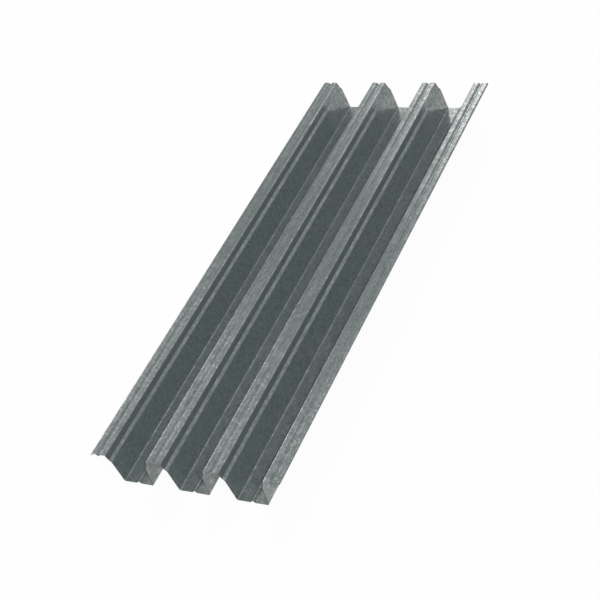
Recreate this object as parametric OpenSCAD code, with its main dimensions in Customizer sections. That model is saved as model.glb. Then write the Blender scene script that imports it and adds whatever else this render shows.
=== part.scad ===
// Profiled steel floor decking sheet: one galvanised strip, roll-formed along its length into deep
// trapezoidal troughs between narrow crests. A groove in each crest, a step in each web and a rib in
// each trough floor stiffen the thin steel, and a short lip ends the sheet on either side.

/* [Sheet] */
// Length the sheet is cut to
sheet_length = 1800; // [300:50:12000]
// Thickness of the galvanised steel
steel_t = 0.9; // [0.6:0.1:1.5]
// Number of troughs across the sheet
trough_count = 3; // [1:1:6]

/* [Trapezoid] */
// Distance from one crest to the next
pitch = 200; // [185:5:260]
// Height from the underside of the trough floors to the top of the crests
profile_h = 114; // [80:1:160]
// Width of a crest between the corners of its bends
crest_w = 51; // [36:1:64]
// Width of a trough floor between the corners of its bends
floor_w = 106; // [60:1:112]
// Inside radius of the bends along the sides of crests and trough floors
bend_r = 4; // [1:0.5:6]

/* [Stiffeners] */
// Width of the groove along a crest, at the crest's surface
groove_w = 16; // [12:0.5:24]
// Width of the groove's flat bottom
groove_bottom_w = 4; // [3.5:0.5:8]
// Depth of the groove
groove_d = 6.5; // [3:0.5:10]
// Width of the rib along a trough floor, at its foot
rib_w = 16; // [12:0.5:30]
// Width of the rib's flat top
rib_top_w = 4; // [3.5:0.5:8]
// Height of the rib above the trough floor
rib_h = 6.5; // [3:0.5:10]
// Drop from a crest to the top of the step in a web
upper_web_drop = 19.5; // [12:0.5:30]
// Sideways run of the web above the step
upper_web_run = 6; // [3:0.5:10]
// Height of the step
step_drop = 9.5; // [6:0.5:16]
// Sideways run of the step
step_run = 7; // [4:0.5:10]
// Inside radius of the bends of grooves, ribs and steps
bead_r = 2; // [0.5:0.5:3]

/* [Edges] */
// Drop of the lip on the left edge
left_lip_drop = 9; // [4:0.5:16]
// Drop of the lip on the right edge
right_lip_drop = 5.5; // [4:0.5:16]

/* [Hidden] */
zinc_grey = [0.5, 0.55, 0.54];
// Most degrees that one flat of a bend turns through
bend_flat = 12;

// Levels of the middle of the steel in the crests and in the trough floors
crest_z = profile_h - steel_t / 2;
floor_z = steel_t / 2;

// Corners of the middle line from a crest's groove to a trough's rib, each as [x, z, inside radius]
half_trough = [
    [groove_bottom_w / 2, crest_z - groove_d, bead_r],
    [groove_w / 2, crest_z, bead_r],
    [crest_w / 2, crest_z, bend_r],
    [crest_w / 2 + upper_web_run, crest_z - upper_web_drop, bead_r],
    [crest_w / 2 + upper_web_run + step_run, crest_z - upper_web_drop - step_drop, bead_r],
    [(pitch - floor_w) / 2, floor_z, bend_r],
    [(pitch - rib_w) / 2, floor_z, bead_r],
    [(pitch - rib_top_w) / 2, floor_z + rib_h, bead_r]
];
// A crest's groove and flank, out to the lip, which slopes as a web does and ends the sheet
function crest_edge(lip_drop) = [
    half_trough[0],
    half_trough[1],
    half_trough[2],
    [crest_w / 2 + lip_drop * upper_web_run / upper_web_drop, crest_z - lip_drop, 0]
];

// Corners seen in a mirror across the upright at x, in the order that keeps x rising
function mirrored(corners, x) = [
    for (i = [len(corners) - 1 : -1 : 0]) [2 * x - corners[i].x, corners[i].y, corners[i].z]
];
function shifted(corners, x) = [for (c = corners) c + [x, 0, 0]];

// All corners of the middle line, from the left lip to the right one
one_trough = concat(half_trough, mirrored(half_trough, pitch / 2));
corners = concat(
    mirrored(crest_edge(left_lip_drop), 0),
    [for (n = [0 : trough_count - 1]) each shifted(one_trough, n * pitch)],
    shifted(crest_edge(right_lip_drop), trough_count * pitch)
);
last = len(corners) - 1;

// Direction from one corner to the next, in degrees, and the square direction on its upper side
function heading(a, b) = atan2(b.y - a.y, b.x - a.x);
function upper_side(angle) = [-sin(angle), cos(angle)];

// Stations round the bend at corner b, each as [x, z, heading]
function bend(a, b, c) =
    let (
        start = heading(a, b),
        turn = heading(b, c) - start,
        side = sign(turn),
        radius = b.z + steel_t / 2,
        tangent = radius * tan(abs(turn) / 2),
        first = [b.x, b.y] - tangent * [cos(start), sin(start)],
        centre = first + side * radius * upper_side(start),
        flats = ceil(abs(turn) / bend_flat)
    )
    [
        for (i = [0 : flats])
        let (
            angle = start + turn * i / flats,
            point = centre - side * radius * upper_side(angle)
        )
        [point.x, point.y, angle]
    ];
stations = concat(
    [[corners[0].x, corners[0].y, heading(corners[0], corners[1])]],
    [for (i = [1 : last - 1]) each bend(corners[i - 1], corners[i], corners[i + 1])],
    [[corners[last].x, corners[last].y, heading(corners[last - 1], corners[last])]]
);

// One face of the steel, half its thickness above the middle line, or below it where side is -1
function face(side) = [for (s = stations) [s.x, s.y] + side * steel_t / 2 * upper_side(s.z)];
upper_face = face(1);
lower_face = face(-1);
outline = concat(upper_face, [for (i = [len(lower_face) - 1 : -1 : 0]) lower_face[i]]);

// Middle of the overall width, which lies over the origin
across = [for (p = outline) p.x];
middle_x = (min(across) + max(across)) / 2;

module decking_sheet() {
    color(zinc_grey)
        translate([-middle_x, 0, 0])
            rotate([90, 0, 0])
                linear_extrude(height = sheet_length, center = true)
                    polygon(outline);
}

decking_sheet();
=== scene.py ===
import math

import bmesh
import bpy
from mathutils import Matrix, Vector


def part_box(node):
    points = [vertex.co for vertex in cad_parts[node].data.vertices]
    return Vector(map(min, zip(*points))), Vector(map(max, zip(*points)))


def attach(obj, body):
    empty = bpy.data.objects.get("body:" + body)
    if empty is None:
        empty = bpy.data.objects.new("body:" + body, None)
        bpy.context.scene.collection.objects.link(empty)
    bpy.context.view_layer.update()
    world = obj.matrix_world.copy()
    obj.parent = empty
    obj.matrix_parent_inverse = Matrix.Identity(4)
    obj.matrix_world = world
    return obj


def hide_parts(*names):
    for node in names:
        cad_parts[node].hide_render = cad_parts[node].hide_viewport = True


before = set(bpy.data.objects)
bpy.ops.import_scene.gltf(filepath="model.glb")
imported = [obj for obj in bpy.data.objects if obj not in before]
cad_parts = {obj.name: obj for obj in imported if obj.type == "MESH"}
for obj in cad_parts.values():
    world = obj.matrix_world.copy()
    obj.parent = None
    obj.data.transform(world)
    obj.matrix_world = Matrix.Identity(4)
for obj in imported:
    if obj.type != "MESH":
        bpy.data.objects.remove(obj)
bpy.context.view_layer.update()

# Decking sheet: one steel strip, hot-dip galvanised and then roll-formed cold into troughs and
# crests. Zinc covers every face, under a dull oxide, and the steep strips above the steps carry a
# painted shade that darkens them. Only the two ends and the two long edges are cut to bare steel.
SHEET = "decking_sheet"
COATED = "zinc_coated_sheet"
STEEL_T = 0.0009
WELD = 1e-6
SHARP_TURN = math.radians(35)
SQUARE_ON = 0.9
ZINC_SLOT = 0
CUT_SLOT = 1

sheet_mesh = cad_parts[SHEET].data.copy()
sheet_mesh.name = COATED
sheet_mesh.materials.clear()

rolled = bmesh.new()
rolled.from_mesh(sheet_mesh)
bmesh.ops.remove_doubles(rolled, verts=rolled.verts, dist=WELD)
for edge in rolled.edges:
    edge.smooth = edge.is_manifold and edge.calc_face_angle() < SHARP_TURN
low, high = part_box(SHEET)
for face in rolled.faces:
    middle = face.calc_center_median()
    from_edge = min(middle.x - low[0], high[0] - middle.x)
    sheared_end = abs(face.normal.y) > SQUARE_ON
    slit_edge = face.normal.z < -SQUARE_ON and from_edge < STEEL_T
    face.material_index = CUT_SLOT if sheared_end or slit_edge else ZINC_SLOT
    face.smooth = True
rolled.to_mesh(sheet_mesh)
rolled.free()

sheet = bpy.data.objects.new(COATED, sheet_mesh)
bpy.context.scene.collection.objects.link(sheet)
flats_stay_flat = sheet.modifiers.new("flats_stay_flat", "WEIGHTED_NORMAL")
flats_stay_flat.keep_sharp = True


class Wire:
    """A socket in a shader's tree. Sums on it add Math nodes, and add() brings any other node."""

    def __init__(self, tree, socket=None):
        self.tree = tree
        self.socket = socket

    def add(self, kind, settings, values, out=0):
        node = self.tree.nodes.new(kind)
        for name, value in settings.items():
            setattr(node, name, value)
        for name, value in values.items():
            if isinstance(value, Wire):
                self.tree.links.new(value.socket, node.inputs[name])
            else:
                node.inputs[name].default_value = value
        return Wire(self.tree, node.outputs[out] if node.outputs else None)

    def sum(self, operation, *values):
        return self.add("ShaderNodeMath", {"operation": operation}, dict(enumerate(values)))

    def __add__(self, other):
        return self.sum("ADD", self, other)

    def __radd__(self, other):
        return self.sum("ADD", other, self)

    def __rsub__(self, other):
        return self.sum("SUBTRACT", other, self)

    def __mul__(self, other):
        return self.sum("MULTIPLY", self, other)

    def __rmul__(self, other):
        return self.sum("MULTIPLY", other, self)

    def __neg__(self):
        return self.sum("MULTIPLY", self, -1.0)

    def between(self, low, high):
        """0 below low, 1 above high, with a soft rise from one to the other."""
        return self.add(
            "ShaderNodeMapRange",
            {"interpolation_type": "SMOOTHSTEP"},
            {"Value": self, "From Min": low, "From Max": high},
        )

    def mixed(self, first, second):
        """The first colour where this is 0, and the second where it is 1."""
        return self.add(
            "ShaderNodeMix", {"data_type": "RGBA"}, {0: self, 6: first, 7: second}, out=2
        )


def new_material(name):
    material = bpy.data.materials.new(name)
    material.use_nodes = True
    material.node_tree.nodes.clear()
    return material, Wire(material.node_tree)


OXIDE_DARK = (0.083, 0.103, 0.103, 1)
OXIDE_PALE = (0.143, 0.176, 0.176, 1)
OXIDE_ROUGHNESS = 0.2
FACET_SHARE = 0.7
STEP_TOP = 0.0945
STEP_BLUR = 0.001
WEB_LEAN = (0.8, 0.93)
# How much the painted shade darkens the oxide on the steep strip of web above each step.
PAINTED_SHADE_ON_STRIP = 0.8
ZINC_DULL = (0.20, 0.20, 0.198, 1)
ZINC_BRIGHT = (0.96, 0.96, 0.95, 1)
ZINC_ROUGHNESS = 0.1
FACET_ROUGHNESS = 0.06
CRYSTALS_PER_METRE = 165.0
RIPPLES_PER_METRE = 230.0
RIPPLE_REACH = (0.004, 0.004, 0.004)
CLOUDS_PER_METRE = 26.0
CLOUD_EDGE = (0.3, 0.7)
LEAST_BARED = 0.09
CLOUDS_BARED = 0.16

zinc, tree = new_material("galvanised_zinc")
place = tree.add("ShaderNodeTexCoord", {}, {}, out="Object")
outward = tree.add("ShaderNodeTexCoord", {}, {}, out="Normal")
rise = tree.add("ShaderNodeSeparateXYZ", {}, {"Vector": place}, out="Z")
sideways = tree.add("ShaderNodeSeparateXYZ", {}, {"Vector": outward}, out="X")
steep = tree.sum("ABSOLUTE", sideways).between(*WEB_LEAN)
# The steep strip of web above each step, where the painted shade goes.
painted_shade_strip = steep * rise.between(STEP_TOP - STEP_BLUR, STEP_TOP + STEP_BLUR)
ripple = tree.add(
    "ShaderNodeTexNoise", {}, {"Vector": place, "Scale": RIPPLES_PER_METRE}, out="Color"
)
wandering = tree.add(
    "ShaderNodeVectorMath",
    {"operation": "MULTIPLY_ADD"},
    {0: ripple, 1: RIPPLE_REACH, 2: place},
)
spangle = tree.add(
    "ShaderNodeTexVoronoi", {}, {"Vector": wandering, "Scale": CRYSTALS_PER_METRE}, out="Color"
)
crystal = tree.add("ShaderNodeSeparateColor", {}, {"Color": spangle}, out="Red")
facet = tree.add("ShaderNodeSeparateColor", {}, {"Color": spangle}, out="Green")
clouds = tree.add(
    "ShaderNodeTexNoise",
    {},
    {"Vector": place, "Scale": CLOUDS_PER_METRE, "Detail": 5.0, "Roughness": 0.65},
).between(*CLOUD_EDGE)
bare_zinc = tree.add(
    "ShaderNodeBsdfPrincipled",
    {},
    {
        "Base Color": (crystal * crystal).mixed(ZINC_DULL, ZINC_BRIGHT),
        "Metallic": 1.0,
        "Roughness": ZINC_ROUGHNESS + FACET_ROUGHNESS * facet,
    },
)
mottle = FACET_SHARE * facet + (1 - FACET_SHARE) * clouds
# The oxide's random tone, darkened by painted shade on the strip above each step.
oxide_tone_and_painted_shade = mottle * (1 - PAINTED_SHADE_ON_STRIP * painted_shade_strip)
oxide = tree.add(
    "ShaderNodeBsdfPrincipled",
    {},
    {"Base Color": oxide_tone_and_painted_shade.mixed(OXIDE_DARK, OXIDE_PALE), "Roughness": OXIDE_ROUGHNESS},
)
bared = LEAST_BARED + CLOUDS_BARED * clouds
shader = tree.add("ShaderNodeMixShader", {}, {0: bared, 1: oxide, 2: bare_zinc})
tree.add("ShaderNodeOutputMaterial", {}, {"Surface": shader})
sheet_mesh.materials.append(zinc)

STEEL_DARK = (0.045, 0.046, 0.047, 1)
STEEL_WORN = (0.11, 0.112, 0.115, 1)
STEEL_METALLIC = 0.6
STEEL_ROUGHNESS = 0.45
MARKS_ROUGHNESS = 0.2
MARKS_PER_METRE = 900.0
MARKS_EDGE = (0.35, 0.65)

cut_steel, tree = new_material("sheared_steel")
place = tree.add("ShaderNodeTexCoord", {}, {}, out="Object")
shear_marks = tree.add(
    "ShaderNodeTexNoise", {}, {"Vector": place, "Scale": MARKS_PER_METRE, "Detail": 2.0}
)
shader = tree.add(
    "ShaderNodeBsdfPrincipled",
    {},
    {
        "Base Color": shear_marks.between(*MARKS_EDGE).mixed(STEEL_DARK, STEEL_WORN),
        "Metallic": STEEL_METALLIC,
        "Roughness": STEEL_ROUGHNESS + MARKS_ROUGHNESS * shear_marks,
    },
)
tree.add("ShaderNodeOutputMaterial", {}, {"Surface": shader})
sheet_mesh.materials.append(cut_steel)

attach(sheet, "root")
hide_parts(SHEET)

# Studio floor: plain white paper that the sheet lies on. It looks white to the camera and in the
# zinc, and keeps a faint shadow of the sheet.
FLOOR_REACH = 400.0
FLOOR_SIDES = 96
FLOOR_COLOUR = (0.75, 0.75, 0.75, 1)
FLOOR_GLOW = 0.94
WHITE = (1, 1, 1, 1)

ground = bmesh.new()
bmesh.ops.create_circle(ground, cap_ends=True, segments=FLOOR_SIDES, radius=FLOOR_REACH)
floor_mesh = bpy.data.meshes.new("studio_floor")
ground.to_mesh(floor_mesh)
ground.free()
floor = bpy.data.objects.new("studio_floor", floor_mesh)
bpy.context.scene.collection.objects.link(floor)

paper, tree = new_material("floor_paper")
camera_ray = tree.add("ShaderNodeLightPath", {}, {}, out="Is Camera Ray")
glossy_ray = tree.add("ShaderNodeLightPath", {}, {}, out="Is Glossy Ray")
through_ray = tree.add("ShaderNodeLightPath", {}, {}, out="Is Transmission Ray")
matte = tree.add("ShaderNodeBsdfDiffuse", {}, {"Color": FLOOR_COLOUR})
glow = tree.add("ShaderNodeEmission", {}, {"Color": WHITE, "Strength": 1.0})
seen = camera_ray + glossy_ray + through_ray
surface = tree.add("ShaderNodeMixShader", {}, {0: FLOOR_GLOW * seen, 1: matte, 2: glow})
tree.add("ShaderNodeOutputMaterial", {}, {"Surface": surface})
floor_mesh.materials.append(paper)

# Studio light: a dark room that shows in the zinc, with a grey near wall, a far wall that is paler
# on the right and high up, a strip lamp and two windows. A soft lamp on the near right lights the
# troughs from end to end. The zinc mirrors its pale shade and not the lamp, which would glare.
ROOM = 0.03
NEAR_WALL = 0.30
NEAR_WALL_END = (0.0, 0.3)
NEAR_WALL_SIDE = (-0.2, 0.2)
FAR_WALL = 0.70
FAR_WALL_END = (0.38, 0.46)
FAR_WALL_LEFT = 0.48
FAR_WALL_PALING = (-0.3, 0.1)
HIGH_PANEL = 0.22
HIGH_PANEL_SIDE = (-0.38, -0.2)
HIGH_PANEL_FOOT = (0.6, 0.68)
STRIP_LAMP = 0.70
STRIP_NEAR = (0.4, 0.46)
STRIP_FAR = (0.55, 0.585)
STRIP_END = (0.4, 0.6)
STRIP_FOOT = (0.4, 0.5)
LEFT_WINDOW = 4.1
LEFT_WINDOW_SIDE = (0.6, 0.68)
LEFT_WINDOW_NEAR = (0.38, 0.44)
LEFT_WINDOW_FAR = (0.48, 0.66)
FAR_WINDOW = 8.3
FAR_WINDOW_RIGHT = (math.radians(6), math.radians(16))
FAR_WINDOW_LEFT = (math.radians(29.4), math.radians(46.2))
FAR_WINDOW_LEAN = 0.315
FAR_WINDOW_FOOT = (0.2, 0.4)
FAR_WINDOW_TOP = (0.66, 0.74)
LAMP_PLACE = Vector((5.91, -4.14, 6.92))
LAMP_ANGLE = math.radians(16)
LAMP_STRENGTH = 2.1
LAMP_SHADE = 1.2
SHADE_EDGE = (math.cos(math.radians(34)), math.cos(math.radians(24)))

world = bpy.data.worlds.new("studio_room")
bpy.context.scene.world = world
world.use_nodes = True
world.node_tree.nodes.clear()
tree = Wire(world.node_tree)
toward = tree.add("ShaderNodeTexCoord", {}, {}, out="Generated")
east = tree.add("ShaderNodeSeparateXYZ", {}, {"Vector": toward}, out="X")
north = tree.add("ShaderNodeSeparateXYZ", {}, {"Vector": toward}, out="Y")
height = tree.add("ShaderNodeSeparateXYZ", {}, {"Vector": toward}, out="Z")
west = -east
bearing = tree.sum("ARCTAN2", west, north)
near_wall = (1 - north.between(*NEAR_WALL_END)) * west.between(*NEAR_WALL_SIDE)
paling = FAR_WALL_LEFT + (1 - FAR_WALL_LEFT) * east.between(*FAR_WALL_PALING)
far_wall = north.between(*FAR_WALL_END) * paling
high_panel = far_wall * east.between(*HIGH_PANEL_SIDE) * height.between(*HIGH_PANEL_FOOT)
strip_lamp = (
    north.between(*STRIP_NEAR)
    * (1 - north.between(*STRIP_FAR))
    * (1 - east.between(*STRIP_END))
    * height.between(*STRIP_FOOT)
)
left_window = (
    west.between(*LEFT_WINDOW_SIDE)
    * north.between(*LEFT_WINDOW_NEAR)
    * (1 - north.between(*LEFT_WINDOW_FAR))
)
leaning_edge = bearing + FAR_WINDOW_LEAN * height
far_window = (
    bearing.between(*FAR_WINDOW_RIGHT)
    * (1 - leaning_edge.between(*FAR_WINDOW_LEFT))
    * height.between(*FAR_WINDOW_FOOT)
    * (1 - height.between(*FAR_WINDOW_TOP))
)
lampward = tree.add(
    "ShaderNodeVectorMath",
    {"operation": "DOT_PRODUCT"},
    {0: toward, 1: LAMP_PLACE.normalized()},
    out="Value",
)
room = (
    ROOM
    + NEAR_WALL * near_wall
    + FAR_WALL * far_wall
    + HIGH_PANEL * high_panel
    + STRIP_LAMP * strip_lamp
    + LEFT_WINDOW * left_window
    + FAR_WINDOW * far_window
    + LAMP_SHADE * lampward.between(*SHADE_EDGE)
)
background = tree.add("ShaderNodeBackground", {}, {"Color": WHITE, "Strength": room})
tree.add("ShaderNodeOutputWorld", {}, {"Surface": background})

soft_lamp = bpy.data.lights.new("soft_lamp", "SUN")
soft_lamp.angle = LAMP_ANGLE
soft_lamp.energy = LAMP_STRENGTH
lamp = bpy.data.objects.new("soft_lamp", soft_lamp)
bpy.context.scene.collection.objects.link(lamp)
lamp.location = LAMP_PLACE
lamp.rotation_euler = LAMP_PLACE.to_track_quat("Z", "Y").to_euler()
lamp.visible_glossy = False

# Camera: it stands off to the right of the near end and looks down along the troughs. It is
# rolled, so that the sheet lies slantwise in the picture.
PICTURE = 600
FOCAL_PIXELS = 1432.3
SENSOR = 36.0
CAMERA_PLACE = Vector((2.2905, -2.8458, 2.9773))
CAMERA_AZIMUTH = math.radians(39.988)
CAMERA_ELEVATION = math.radians(39.737)
CAMERA_ROLL = math.radians(23.233)

lens = bpy.data.cameras.new("picture_camera")
lens.sensor_width = SENSOR
lens.lens = FOCAL_PIXELS / PICTURE * SENSOR
camera = bpy.data.objects.new("picture_camera", lens)
bpy.context.scene.collection.objects.link(camera)
turn = (
    Matrix.Rotation(CAMERA_AZIMUTH, 4, "Z")
    @ Matrix.Rotation(math.pi / 2 - CAMERA_ELEVATION, 4, "X")
    @ Matrix.Rotation(-CAMERA_ROLL, 4, "Z")
)
camera.matrix_world = Matrix.Translation(CAMERA_PLACE) @ turn
bpy.context.scene.camera = camera
bpy.context.scene.view_settings.view_transform = "Standard"
